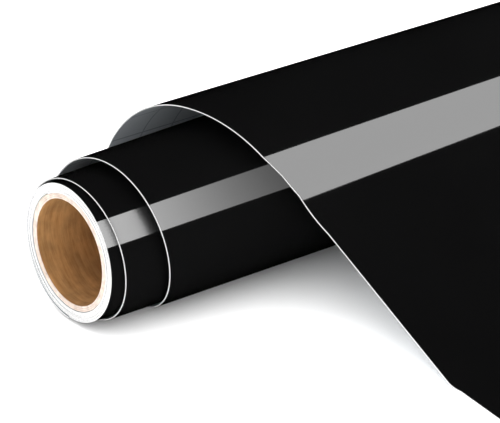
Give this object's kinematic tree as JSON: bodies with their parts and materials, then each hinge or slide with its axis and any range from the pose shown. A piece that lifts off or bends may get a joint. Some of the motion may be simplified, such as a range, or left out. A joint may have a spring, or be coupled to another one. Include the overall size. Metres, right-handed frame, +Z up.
{
  "type": "roll of sign vinyl",
  "caption": "Roll of self-adhesive sign vinyl on a paper core, its loose outer turns stepped endwise and the free sheet run out flat",
  "frame": {"origin": "on the core's axis at its near mouth", "axes": "+X along the core away from the near mouth, +Z up, and the free sheet runs off towards -Y"},
  "size_m": [0.3811, 0.2492, 0.0655],
  "materials": {
    "film": "high gloss",
    "liner": "smooth coated",
    "kraft": "matt",
    "tape": "satin"
  },
  "bodies": {
    "table_turn": {"outer_turn_liner": "liner", "outer_turn_film": "film"},
    "middle_turn": {"middle_turn_liner": "liner", "middle_turn_film": "film"},
    "inner_turn": {"inner_turn_liner": "liner", "inner_turn_film": "film"},
    "tight_roll": {"core_inner_ply": "kraft", "core_middle_ply": "kraft", "core_outer_ply": "kraft", "core_start_tape": "tape", "tight_roll_liner": "liner", "tight_roll_film": "film"},
    "ramp": {"ramp_liner": "liner", "ramp_film": "film"},
    "free_end": {"free_end_liner": "liner", "free_end_film": "film"},
    "peel_strip": {"peel_strip_film": "film"}
  },
  "joints": [
    {"name": "middle_turn_slip", "type": "slide", "parent": "table_turn", "child": "middle_turn", "axis": [1, 0, 0], "range_m": [-0.03, 0.02]},
    {"name": "inner_turn_slip", "type": "slide", "parent": "middle_turn", "child": "inner_turn", "axis": [1, 0, 0], "range_m": [-0.03, 0.005]},
    {"name": "roll_turn", "type": "hinge", "parent": "inner_turn", "child": "tight_roll", "pos_m": [0, 0, 0], "axis": [1, 0, 0], "continuous": true},
    {"name": "ramp_lift", "type": "hinge", "parent": "table_turn", "child": "ramp", "pos_m": [0.2, -0.0462, 0.00377], "axis": [-0.9997, -0.0197, 0.0129], "range_deg": [0, 70]},
    {"name": "free_end_curl", "type": "hinge", "parent": "ramp", "child": "free_end", "pos_m": [0.2, -0.11303, -0.02616], "axis": [-0.9988, -0.048, 0.0002], "range_deg": [0, 90]},
    {"name": "film_peel", "type": "hinge", "parent": "free_end", "child": "peel_strip", "pos_m": [0.2, -0.18326, -0.02613], "axis": [-0.9988, 0.0487, 0], "range_deg": [0, 150]}
  ]
}
